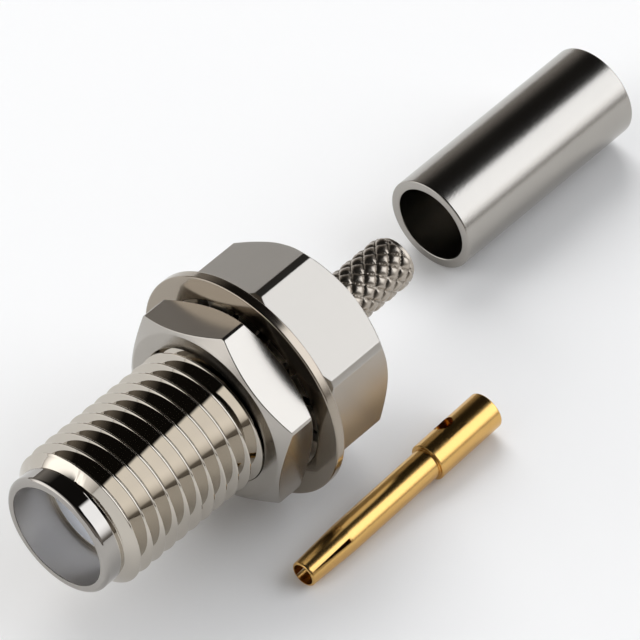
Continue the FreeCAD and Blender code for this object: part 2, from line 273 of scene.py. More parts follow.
@dataclass(frozen=True)
class Thread:
    """A right-handed V thread as a strip, one pitch wide, carried along its helix.

    Args:
        crest: radius of the ridge's top, in millimetres.
        root: radius of the groove's bottom.
        first_groove: where the groove's middle crosses +X, ahead of all others.
        crest_flat: width of the ridge's top.
        root_flat: width of the groove's bottom.
        pitch: advance in one turn.
        softness: how far from the ridge's edges their rounding starts.
    """

    crest: float
    root: float
    first_groove: float
    crest_flat: float
    root_flat: float
    pitch: float = THREAD_PITCH
    softness: float = 0.02

    def section(self) -> tuple[Array, Array]:
        """Place across one pitch, from ridge to ridge, and radius, with the corners rounded."""
        half = self.pitch / 2
        edge = (self.crest, half - self.crest_flat / 2)
        behind = [(self.root, self.root_flat / 2), edge, (self.crest, half)]
        ahead = [(radius, -place) for radius, place in reversed(behind)]
        line = rounded(np.array(ahead + behind), self.softness, steps=1)
        return line[:, 1], line[:, 0]

    def strip(
        self, angles: Array, start: Pair, end: Pair, limit: Callable[[Array], Array],
        inside: bool = False, run_in: float = 0.001,
    ) -> Array:
        """The thread between two rings, held within an envelope: what is past a ring lies on it.

        The place along the axis is the first groove, less a pitch for each turn of the angle, plus the
        place across the strip.

        Args:
            angles: the angles of the columns of one turn.
            start: radius and place of the front ring.
            end: radius and place of the rear ring.
            limit: the envelope's radius for a place along the axis.
            inside: whether the thread is cut in a bore, where the envelope is the least radius.
            run_in: over what length from the front ring the groove sinks to its depth.

        Returns:
            A grid of points, across the pitch by along the helix by three.
        """
        across, radius = self.section()
        turns = math.ceil((end[1] - start[1]) / self.pitch) + 3
        helix = (np.sort(-angles % FULL_TURN) + FULL_TURN * np.arange(-2, turns)[:, None]).ravel()
        along = self.first_groove + self.pitch * helix[None, :] / FULL_TURN + across[:, None]
        grown = np.broadcast_to(radius[:, None], along.shape)
        envelope = limit(along)
        held = np.maximum(grown, envelope) if inside else np.minimum(grown, envelope)
        held = envelope + (held - envelope) * np.clip((along - start[1]) / run_in, 0, 1)
        held = np.where(along <= start[1], start[0], np.where(along >= end[1], end[0], held))
        along = np.clip(along, start[1], end[1])
        points = polar(held, along, -helix)
        return points if inside else points[:, ::-1]


def weld(points: Array, quads: Array) -> tuple[Array, Array]:
    """Merge points that lie on each other; returns the points left and the quads in their numbers."""
    keys = np.round(points / WELD_MM).astype(np.int64)
    _, first, number = np.unique(keys, axis=0, return_index=True, return_inverse=True)
    return points[first], number.reshape(-1)[quads]


def grid_quads(rows: int, columns: int, closed: bool) -> Array:
    """The four corners of each cell of a grid: this row, the next, the next column's, and back."""
    index = np.arange(rows * columns).reshape(rows, columns)
    if closed:
        index = np.concatenate([index, index[:, :1]], axis=1)
    cells = [index[:-1, :-1], index[1:, :-1], index[1:, 1:], index[:-1, 1:]]
    return np.stack([cell.ravel() for cell in cells], axis=-1)


def new_object(name: str, data: bpy.types.ID) -> bpy.types.Object:
    """An object of the scene that holds the data."""
    made = bpy.data.objects.new(name, data)
    bpy.context.scene.collection.objects.link(made)
    return made


def build_mesh(name: str, patches: Sequence[Patch], crease: float = CREASE_DEGREES) -> bpy.types.Object:
    """Make one object from patches: weld them, drop cells that have closed up, and shade smooth.

    Args:
        name: the object's name.
        patches: the grids of points.
        crease: edges that turn by more than this many degrees stay sharp.

    Returns:
        The object, at the origin.
    """
    points, quads, zones, count = [], [], [], 0
    for patch in patches:
        rows, columns = patch.points.shape[:2]
        cells = grid_quads(rows, columns, patch.closed) + count
        points.append(patch.points.reshape(-1, 3))
        quads.append(cells)
        zones.append(np.full(len(cells), patch.zone.value))
        count += rows * columns
    places, cells = weld(np.concatenate(points), np.concatenate(quads))
    zone = np.concatenate(zones)
    sides = cells != np.roll(cells, -1, axis=1)
    spread = (cells[:, 0] != cells[:, 2]) & (cells[:, 1] != cells[:, 3])
    whole, folded = spread & sides.all(axis=1), spread & (sides.sum(axis=1) == 3)
    faces = cells[whole].tolist() + cells[folded][sides[folded]].reshape(-1, 3).tolist()
    mesh = bpy.data.meshes.new(name)
    mesh.from_pydata((places * MM).tolist(), [], faces)
    indices = np.concatenate([zone[whole], zone[folded]]).astype(np.int32)
    mesh.polygons.foreach_set("material_index", indices)
    mesh.polygons.foreach_set("use_smooth", np.ones(len(faces), bool))
    mesh.update()
    mesh.set_sharp_from_angle(angle=math.radians(crease))
    return new_object(name, mesh)


class NodeSheet:
    """A small pen for shader nodes: makes a node, sets its values and joins it up."""

    def __init__(self, tree: bpy.types.NodeTree) -> None:
        """Start on an empty tree."""
        self.tree = tree
        tree.nodes.clear()

    def add(self, kind: str, **settings: object) -> bpy.types.Node:
        """A node with attributes set, such as an operation."""
        node = self.tree.nodes.new(kind)
        for name, value in settings.items():
            setattr(node, name, value)
        return node

    def feed(self, socket: Socket, value: object) -> None:
        """Join a socket to another, or set its value."""
        if isinstance(value, Socket):
            self.tree.links.new(value, socket)
        else:
            socket.default_value = value

    def put(self, node: bpy.types.Node, **values: object) -> bpy.types.Node:
        """Fill sockets by name, with underscores for spaces."""
        for name, value in values.items():
            self.feed(node.inputs[name.replace("_", " ")], value)
        return node

    def calculate(self, kind: str, operation: str, values: Sequence[object]) -> bpy.types.Node:
        """A node that works on numbers, vectors or sockets, in the order of its inputs."""
        node = self.add(kind, operation=operation)
        for socket, value in zip(node.inputs, values, strict=False):
            self.feed(socket, value)
        return node

    def math(self, operation: str, *values: object) -> Socket:
        """The result of one sum of numbers."""
        return self.calculate("ShaderNodeMath", operation, values).outputs[0]

    def vector(self, operation: str, *values: object) -> Socket:
        """The result of one sum of vectors."""
        return self.calculate("ShaderNodeVectorMath", operation, values).outputs[0]

    def dot(self, first: Socket, second: Vector) -> Socket:
        """How far a vector reaches along a fixed direction."""
        return self.calculate("ShaderNodeVectorMath", "DOT_PRODUCT", (first, second)).outputs["Value"]

    def mapped(self, place: Socket, **values: object) -> Socket:
        """A place that is moved, turned or stretched."""
        return self.put(self.add("ShaderNodeMapping"), Vector=place, **values).outputs[0]

    def fade(self, value: Socket, start: float, end: float) -> Socket:
        """A smooth step from 0 at the start to 1 at the end, which may lie below the start."""
        node = self.add("ShaderNodeMapRange", interpolation_type="SMOOTHSTEP")
        rising = float(end > start)
        self.put(node, Value=value, From_Min=min(start, end), From_Max=max(start, end))
        return self.put(node, To_Min=1.0 - rising, To_Max=rising).outputs[0]

    def ramp(self, value: Socket, stops: Profile) -> Socket:
        """Grey levels at places between 0 and 1."""
        node = self.add("ShaderNodeValToRGB")
        elements = node.color_ramp.elements
        while len(elements) < len(stops):
            elements.new(0.5)
        for element, (place, level) in zip(elements, stops, strict=True):
            element.position = place
            element.color = (level, level, level, 1)
        self.feed(node.inputs[0], value)
        return node.outputs[0]

    def noise(self, place: Socket, scale: float, detail: float = 3.0) -> Socket:
        """Cloudy noise at a place; returns its grey value."""
        node = self.add("ShaderNodeTexNoise")
        return self.put(node, Vector=place, Scale=scale, Detail=detail, Roughness=0.55).outputs["Fac"]

    def tint(self, colour: Colour, cloud: Socket, least: float) -> Socket:
        """A colour that a cloud darkens, down to the least share of it."""
        node = self.add("ShaderNodeMix", data_type="RGBA", blend_type="MULTIPLY")
        level = self.ramp(cloud, [(0.3, least), (0.7, 1.0)])
        return self.put(node, Factor=1.0, A=(*colour, 1), B=level).outputs["Result"]

    def bump(self, height: Socket, strength: float, distance: float) -> Socket:
        """The normal of a surface with small heights, in metres."""
        node = self.add("ShaderNodeBump")
        return self.put(node, Height=height, Strength=strength, Distance=distance).outputs[0]


@dataclass(frozen=True)
class Finish:
    """A surface's look.

    Args:
        name: the material's name.
        colour: its colour, linear; of a metal, what it reflects.
        roughness: gloss of the clean surface.
    """

    name: str
    colour: Colour
    roughness: float

    def sockets(self, sheet: NodeSheet) -> dict[str, object]:
        """What goes into the shader's sockets."""
        raise NotImplementedError

    def material(self) -> bpy.types.Material:
        """Build the material from its sockets."""
        made = bpy.data.materials.new(self.name)
        made.use_nodes = True
        sheet = NodeSheet(made.node_tree)
        shader = sheet.put(sheet.add("ShaderNodeBsdfPrincipled"), **self.sockets(sheet))
        sheet.put(sheet.add("ShaderNodeOutputMaterial"), Surface=shader.outputs[0])
        return made


@dataclass(frozen=True)
class Metal(Finish):
    """Plated metal, with the marks of the lathe and the plating's grain.

    Args:
        uneven: how much the roughness wanders.
        turning: strength of the fine rings that the tool leaves round the axis, as a bump.
        grain: strength of the plating's fine grain, as a bump.
        grain_scale: how fine that grain is, per metre.
        mottle: how much the colour wanders.
        lay: where the piece lies, so that its rings follow its own axis.
        lengthwise: whether the marks run along the axis, as on drawn tube, and not round it.
    """

    uneven: float = 0.04
    turning: float = 0.0
    grain: float = 0.1
    grain_scale: float = 9000.0
    mottle: float = 0.04
    lay: Placement = field(default_factory=Placement)
    lengthwise: bool = False

    marks_scale: ClassVar[float] = 14000.0
    cloud_scale: ClassVar[float] = 420.0
    relief: ClassVar[float] = 0.00001
    metres_per_turn: ClassVar[float] = 0.00004

    def own_place(self, sheet: NodeSheet) -> Socket:
        """Object coordinates turned back into the piece's own axes."""
        where = sheet.add("ShaderNodeTexCoord").outputs["Object"]
        moved = sheet.mapped(where, Location=[-MM * part for part in self.lay.shift])
        return sheet.mapped(moved, Rotation=Matrix(self.lay.matrix().T.tolist()).to_euler())

    def marks_place(self, sheet: NodeSheet, own: Socket) -> Socket:
        """A place that changes across the marks and hardly along them."""
        if self.lengthwise:
            return sheet.mapped(own, Scale=(1.0, 0.02, 1.0))
        x, y, z = sheet.put(sheet.add("ShaderNodeSeparateXYZ"), Vector=own).outputs
        squares = [sheet.math("MULTIPLY", part, part) for part in (x, z)]
        out = sheet.math("SQRT", sheet.math("ADD", *squares))
        turn = sheet.math("MULTIPLY", sheet.math("ARCTAN2", z, x), self.metres_per_turn)
        return sheet.put(sheet.add("ShaderNodeCombineXYZ"), X=out, Y=y, Z=turn).outputs[0]

    def sockets(self, sheet: NodeSheet) -> dict[str, object]:
        """Colour mottle, wandering roughness, and a bump of marks and grain."""
        own = self.own_place(sheet)
        marks = sheet.noise(self.marks_place(sheet, own), self.marks_scale, 2.0)
        grain = sheet.noise(own, self.grain_scale, 4.0)
        cloud = sheet.noise(own, self.cloud_scale)
        wander = sheet.math("SUBTRACT", sheet.math("ADD", cloud, grain), 1.0)
        heights = [sheet.math("MULTIPLY", *pair) for pair in ((marks, self.turning), (grain, self.grain))]
        return {
            "Base_Color": sheet.tint(self.colour, cloud, 1.0 - self.mottle),
            "Metallic": 1.0,
            "Roughness": sheet.math("ADD", self.roughness, sheet.math("MULTIPLY", wander, self.uneven)),
            "Normal": sheet.bump(sheet.math("ADD", *heights), 1.0, self.relief),
        }


@dataclass(frozen=True)
class Fluoropolymer(Finish):
    """Smooth, faintly bluish plastic with soft cutting rings."""

    ring_scale: ClassVar[float] = 2600.0
    cloud_scale: ClassVar[float] = 900.0
    least_shade: ClassVar[float] = 0.95
    relief: ClassVar[float] = 0.000004

    def sockets(self, sheet: NodeSheet) -> dict[str, object]:
        """Fine rings round the axis and a slow change of shade."""
        own = sheet.add("ShaderNodeTexCoord").outputs["Object"]
        rings = sheet.add("ShaderNodeTexWave", wave_type="RINGS", rings_direction="Y")
        sheet.put(rings, Vector=own, Scale=self.ring_scale, Distortion=0.6)
        return {
            "Base_Color": sheet.tint(self.colour, sheet.noise(own, self.cloud_scale), self.least_shade),
            "Roughness": self.roughness,
            "Normal": sheet.bump(rings.outputs["Fac"], 0.3, self.relief),
        }


@dataclass(frozen=True)
class Paper(Finish):
    """Matt paper without any gloss."""

    def sockets(self, sheet: NodeSheet) -> dict[str, object]:
        """One even shade."""
        return {"Base_Color": (*self.colour, 1), "Roughness": self.roughness, "Specular_IOR_Level": 0.0}


@dataclass
class SubAssembly:
    """A piece that rides a body and stands for a node of the frame.

    Args:
        name: the piece's name.
        node: the node of the frame that it stands for.
        body: the body that it rides.
        slot: the record's slot of its finish; not used.
    """

    name: str
    node: str
    body: str
    slot: str

    def patches(self) -> list[Patch]:
        """The grids of points that make the piece."""
        raise NotImplementedError

    def finishes(self) -> list[Finish]:
        """One finish for each zone that the patches use, in the zones' order."""
        raise NotImplementedError

    def build(self) -> bpy.types.Object:
        """Make the mesh, dress it and put it in its node's place."""
        piece = build_mesh(self.name, self.patches())
        for finish in self.finishes():
            piece.data.materials.append(finish.material())
        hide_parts(self.node)
        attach(piece, self.body)
        LOG.info("%s: %d faces on %s", self.name, len(piece.data.polygons), self.body)
        return piece


@dataclass
class JackBody(SubAssembly):
    """Nose, threaded barrel, hexagon and knurled crimp barrel, turned from one bar."""

    columns: int = 124
    socket_radius: float = 2.33
    socket_depth: float = 1.90
    socket_middle: float = 1.0
    mouth: float = 0.05
    nose_radius: float = 2.71
    nose_length: float = 0.79
    lip: float = 0.12
    lip_edge: float = 0.065
    lip_hold: float = 0.15
    lip_steps: int = 6
    bore_edge: float = 0.1
    fine_edge: float = 0.02
    lead_in: float = 0.41
    thread_radius: float = 3.175
    thread_root: float = 2.64
    crest_flat: float = 0.06
    root_flat: float = 0.03
    run_in: float = 0.14
    join: float = 0.02
    first_groove: float = 0.34
    relief_radius: float = 2.68
    relief_length: float = 0.71
    relief_edge: float = 0.05
    thread_end: float = 11.19
    hexagon: Hexagon = Hexagon(across_flats=8.13, corner_radius=4.60, corner_turn=28.9, bevel_drop=0.54)
    hex_length: float = 3.71
    front_bevel: float = 0.43
    rear_bevel: float = 0.40
    face_start: float = 0.3
    barrel_radius: float = 1.165
    barrel_length: float = 5.10
    barrel_bevel: float = 0.16
    neck: float = 0.15
    knurl_depth: float = 0.17
    knurl_share: float = 0.78
    knurl_starts: int = 9
    knurl_pitch: float = 0.74
    knurl_turn: float = 57.3
    knurl_place: float = 18.13
    knurl_run_out: float = 0.12
    knurl_rows: int = 144
    sleeve_radius: float = 2.09
    sleeve_end: float = 11.40
    cable_bore: float = 0.899

    @property
    def barrel_start(self) -> float:
        """The rear face of the hexagon."""
        return self.thread_end + self.hex_length

    @property
    def barrel_end(self) -> float:
        """The rear end of the crimp barrel."""
        return self.barrel_start + self.barrel_length

    @property
    def knurl_root(self) -> float:
        """The radius of the barrel under the knurl."""
        return self.barrel_radius - self.knurl_depth

    def bar(self, along: Array) -> Array:
        """The blank's radius: nose, a straight cone up to the thread, and the thread's own radius."""
        grown = (along - self.nose_length) / self.lead_in * (self.thread_radius - self.nose_radius)
        return np.clip(self.nose_radius + grown, self.nose_radius, self.thread_radius)

    def nose(self, angles: Array) -> list[Patch]:
        """Bore from the ledge out to the mouth, the rounded lip, and the side of the nose.

        A station just behind the lip and one ahead of the cone keep the side's shading even.
        """
        inside, outside, length = self.socket_radius, self.nose_radius, self.nose_length
        bore = [(inside, self.socket_depth), (inside, self.socket_middle), (inside, self.mouth)]
        front = [(inside, self.mouth), (inside, 0.0), (outside - self.lip, 0.0)]
        places = (self.lip, self.lip + self.lip_hold, length - self.mouth, length - self.join)
        lip = front + [(outside, place) for place in places]
        seat = self.sleeve_radius
        ledge = [(seat, self.sleeve_end), (seat, self.socket_depth), (inside, self.socket_depth)]
        return [
            Patch(turned(bore, self.bore_edge, angles), Zone.BORE),
            Patch(turned(lip, self.lip_edge, angles, self.lip_steps), Zone.NOSE),
            Patch(turned(ledge, self.fine_edge, angles)),
        ]

    def thread(self, angles: Array) -> Patch:
        """The thread from the nose to the run-out groove behind it."""
        groove = (self.first_groove, self.crest_flat, self.root_flat)
        shape = Thread(self.thread_radius, self.thread_root, *groove)
        start = (self.nose_radius, self.nose_length - self.join)
        end = (self.relief_radius, self.thread_end - self.relief_length)
        return Patch(shape.strip(angles, start, end, self.bar, run_in=self.run_in))

    def spanner_flats(self, angles: Array) -> list[Patch]:
        """Relief groove, front face, bevels, flats and rear face of the hexagon."""
        floor, end = self.relief_radius, self.thread_end
        start = self.hexagon.face_radius - self.face_start
        groove = [(floor, end - self.relief_length), (floor, end), (start, end)]
        bevels = (self.front_bevel, self.rear_bevel)
        block = self.hexagon.block((end, self.barrel_start), (start, self.knurl_root), bevels, angles)
        return [Patch(turned(groove, self.relief_edge, angles)), Patch(block, Zone.FLATS)]

    def crimp_barrel(self, angles: Array) -> list[Patch]:
        """Diamond knurl: two families of helical grooves that cross on the barrel.

        The phase of a family is the starts times the turn, plus or minus the place over the knurl's
        pitch, and its grooves lie at whole phases. Between them the surface swells like a half circle: at
        a distance d from half phases the depth's share is one less the root of 1 - 4 d d. The deeper
        family counts for most of the depth.
        """
        root, start, end = self.knurl_root, self.barrel_start, self.barrel_end
        along = np.linspace(start + self.neck, end - self.barrel_bevel, self.knurl_rows)[:, None]
        turn = (angles - math.radians(self.knurl_turn)) / FULL_TURN * self.knurl_starts
        place = (along - self.knurl_place) / self.knurl_pitch
        beside = [np.abs(phase % 1.0 - 0.5) for phase in (turn + place, turn - place)]
        cuts = [1.0 - np.sqrt(np.maximum(1.0 - 4.0 * distance**2, 0.0)) for distance in beside]
        depth = self.knurl_share * np.maximum(*cuts) + (1 - self.knurl_share) * np.minimum(*cuts)
        from_ends = np.minimum(along - along[0], along[-1] - along)
        swell = np.sqrt(np.clip(from_ends / self.knurl_run_out, 0, 1))
        knurl = polar(root + self.knurl_depth * (1 - depth) * swell, along, angles)
        neck = [(root, start), (root, start + self.mouth), (root, start + self.neck)]
        bevel, bore = (self.barrel_radius - self.barrel_bevel - self.join, end), self.cable_bore
        seat = [(bore, self.sleeve_end), (self.sleeve_radius, self.sleeve_end)]
        rear = [(root, end - self.barrel_bevel), bevel, (bore, end), *seat]
        plain = [turned(neck, self.fine_edge, angles), turned(rear, EDGE_BREAK, angles)]
        return [Patch(points, Zone.KNURL) for points in (plain[0], knurl, plain[1])]

    def patches(self) -> list[Patch]:
        """All surfaces of the body, from the ledge round to the sleeve's seat."""
        angles = self.hexagon.angles(self.columns)
        front = [*self.nose(angles), self.thread(angles)]
        return front + self.spanner_flats(angles) + self.crimp_barrel(angles)

    def finishes(self) -> list[Finish]:
        """Bright nickel outside, satin on the flats and in the bore; its colour changes by zone as painted
        light and shade: lighter on the thread, much lighter in the bore, darker on the flats, the nose and
        the knurl.
        """
        return [
            # painted light and shade: the thread's nickel is lighter than the flats', so the band between its
            # ridges comes out brighter while the flats show the floor darker
            Metal("thread_painted_light_nickel", (0.54, 0.50, 0.44), 0.02, uneven=0.0, grain=0.0),
            Metal("flats_painted_shade_nickel", NICKEL, 0.31, grain=0.05, grain_scale=24000.0),
            # painted light: the bore's nickel is much lighter than the bar's, so the deep socket looks lit
            Metal("socket_painted_light_nickel", (0.70, 0.68, 0.655), 0.38, uneven=0.0, turning=0.02, grain=0.0),
            # painted shade: the knurl's nickel is darker and browner than the flats', standing in for shade
            # in its pits
            Metal("knurl_painted_shade_nickel", (0.42, 0.375, 0.32), 0.30, grain=0.08),
            # painted shade: the nose's nickel is darker than the thread's, so its sides show the floor darker
            Metal("nose_painted_shade_nickel", (0.385, 0.365, 0.34), 0.03, uneven=0.0, turning=0.012, grain=0.003),
        ]


@dataclass
class Sleeve(SubAssembly):
    """White plastic sleeve behind the ledge, with a stepped hole for the contact."""

    columns: int = 128
    radius: float = 2.08
    front: float = 1.90
    rear: float = 11.40
    front_hole: float = 0.734
    rear_hole: float = 0.899
    step: float = 9.46
    edge: float = 0.04

    def patches(self) -> list[Patch]:
        """Front face, outside, rear face and the stepped hole, as one closed ring."""
        front, rear, step = self.front, self.rear, self.step
        outside = [(self.front_hole, front), (self.radius, front), (self.radius, rear)]
        inside = [(self.rear_hole, rear), (self.rear_hole, step), (self.front_hole, step)]
        return [Patch(ring_section(outside + inside, self.edge, even_angles(self.columns)))]

    def finishes(self) -> list[Finish]:
        """White plastic."""
        return [Fluoropolymer("white_sleeve", (0.74, 0.77, 0.84), 0.38)]


@dataclass
class PanelNut(SubAssembly):
    """Thin panel nut, bevelled on both faces, with its own thread inside."""

    columns: int = 216
    hexagon: Hexagon = Hexagon(across_flats=8.05, corner_radius=4.61, corner_turn=21.7, bevel_drop=0.72)
    thickness: float = 1.98
    bevel_length: float = 0.41
    countersink: float = 0.36
    bore: float = 2.848
    root: float = 3.407
    crest_flat: float = 0.06
    first_groove: float = 7.748

    @property
    def front(self) -> float:
        """The front face's place, read from the frame."""
        return float(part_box(self.node)[0].y) / MM

    @property
    def mouth(self) -> float:
        """The outer radius of the countersinks."""
        return self.bore + self.countersink

    def countersunk(self, along: Array) -> Array:
        """The least radius of the bore: a cone at each mouth, straight between."""
        depth = np.minimum(along - self.front, self.front + self.thickness - along)
        return np.clip(self.mouth - depth, self.bore, self.mouth)

    def patches(self) -> list[Patch]:
        """The bevelled block and the thread in its bore."""
        angles = self.hexagon.angles(self.columns)
        front, rear, mouth = self.front, self.front + self.thickness, self.mouth
        block = self.hexagon.block((front, rear), (mouth, mouth), (self.bevel_length,) * 2, angles)
        shape = Thread(self.bore, self.root, self.first_groove, self.crest_flat, 0.0)
        inside = shape.strip(angles, (mouth, front), (mouth, rear), self.countersunk, inside=True)
        return [Patch(block), Patch(inside, Zone.FLATS)]

    def finishes(self) -> list[Finish]:
        """Bright nickel outside and a darker, duller thread."""
        return [
            Metal("nut_nickel", NICKEL, 0.22, grain=0.12, uneven=0.05),
            Metal("nut_bore_nickel", (0.42, 0.38, 0.32), 0.25, turning=0.2),
        ]


@dataclass
class LockWasher(SubAssembly):
    """Flat stamped ring with teeth on its inside, each twisted out of the sheet."""

    columns: int = 192
    radius: float = 5.19
    ring_radius: float = 4.08
    thickness: float = 0.44
    root_overlap: float = 0.08
    tooth_radius: float = 3.36
    root_width: float = 1.05
    tip_width: float = 0.71
    tooth_lift: float = 0.094
    tooth_edge: float = 0.22
    tip_edge: float = 0.04
    tip_share: float = 0.15
    rows: tuple[float, ...] = (0.18, 0.08, 0.0, -0.16, -0.32, -0.48, -0.58, -0.62, -0.64)
    play: float = 0.004
    teeth: int = 15
    turn: float = 11.6
    edge: float = 0.07

    @property
    def middle(self) -> float:
        """The middle plane of the sheet, read from the frame."""
        low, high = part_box(self.node)
        return float(low.y + high.y) / 2 / MM

    def tooth(self, angle: float) -> Patch:
        """One tooth: a bar with a rounded section that narrows and shears as it nears the axis.

        With s from 0 at the ring to 1 at the tip, the width shrinks in a straight line from root to tip,
        and each point rises by s times the lift times its own share of the half width.
        """
        root = self.ring_radius - self.root_overlap
        reach = np.array(self.rows)[:, None] + root
        share = np.clip((root - reach) / (root - self.tooth_radius), 0, 1)
        round_off = self.tip_edge * np.clip((share - (1 - self.tip_share)) / self.tip_share, 0, 1) ** 2
        half_width = (self.root_width + share * (self.tip_width - self.root_width)) / 2 - round_off
        half_height = self.thickness / 2 - self.play - round_off
        corners = np.array([(0, -1), (1, -1), (1, 1), (-1, 1), (-1, -1), (0, -1)], float)
        across, above = rounded(corners, self.tooth_edge).T
        side = np.pad(across * half_width, ((1, 1), (0, 0)))
        lift = np.pad(above * half_height - across * share * self.tooth_lift, ((1, 1), (0, 0)))
        out = np.pad(reach, ((1, 1), (0, 0)), mode="edge")
        x = out * math.cos(angle) - side * math.sin(angle)
        z = out * math.sin(angle) + side * math.cos(angle)
        return Patch(np.stack([x, self.middle + lift, z], axis=-1), Zone.FLATS, closed=False)

    def patches(self) -> list[Patch]:
        """The ring, with rolled stamped edges, and its teeth."""
        inside, outside = self.ring_radius, self.radius
        low, high = self.middle - self.thickness / 2, self.middle + self.thickness / 2
        corners = [(inside, low), (outside, low), (outside, high), (inside, high)]
        ring = ring_section(corners, self.edge, even_angles(self.columns))
        turns = math.radians(self.turn) + even_angles(self.teeth)
        return [Patch(ring), *(self.tooth(float(angle)) for angle in turns)]

    def finishes(self) -> list[Finish]:
        """Nickel over rolled sheet, a little warmer; the ring is darker than the body's, as painted shade,
        and the teeth much lighter, as painted light.
        """
        return [
            # painted shade: the ring's nickel is darker than the body's, so its front face shows its
            # surroundings darker
            Metal("washer_nickel", (0.36, 0.315, 0.26), 0.15, turning=0.03, grain=0.03),
            # painted light: the teeth's nickel is far lighter than the ring's, standing in for the light they
            # catch in the shaded gap behind the nut
            Metal("tooth_painted_light_nickel", (0.75, 0.70, 0.62), 0.3),
        ]


@dataclass
class CrimpFerrule(SubAssembly):
    """Thin drawn tube that is crimped over the barrel and the braid."""

    columns: int = 192
    radius: float = 2.14
    wall: float = 0.43
    length: float = 10.45
    x: float = -2.07
    y: float = 24.52
    rim: float = 0.07
    rim_steps: int = 6

    @property
    def lay(self) -> Placement:
        """Its place on the floor."""
        return Placement((self.x, self.y, GROUND + self.radius))

    def patches(self) -> list[Patch]:
        """A ring section with rounded rims, as long as the tube."""
        inside, outside = self.radius - self.wall, self.radius
        corners = [(inside, 0.0), (outside, 0.0), (outside, self.length), (inside, self.length)]
        points = ring_section(corners, self.rim, even_angles(self.columns), self.rim_steps)
        return [Patch(self.lay.apply(points))]

    def finishes(self) -> list[Finish]:
        """Satin nickel with marks along the tube."""
        marks = {"turning": 0.05, "grain": 0.30, "grain_scale": 8000.0, "lengthwise": True, "lay": self.lay}
        return [Metal("ferrule_nickel", (0.41, 0.39, 0.36), 0.2, **marks)]


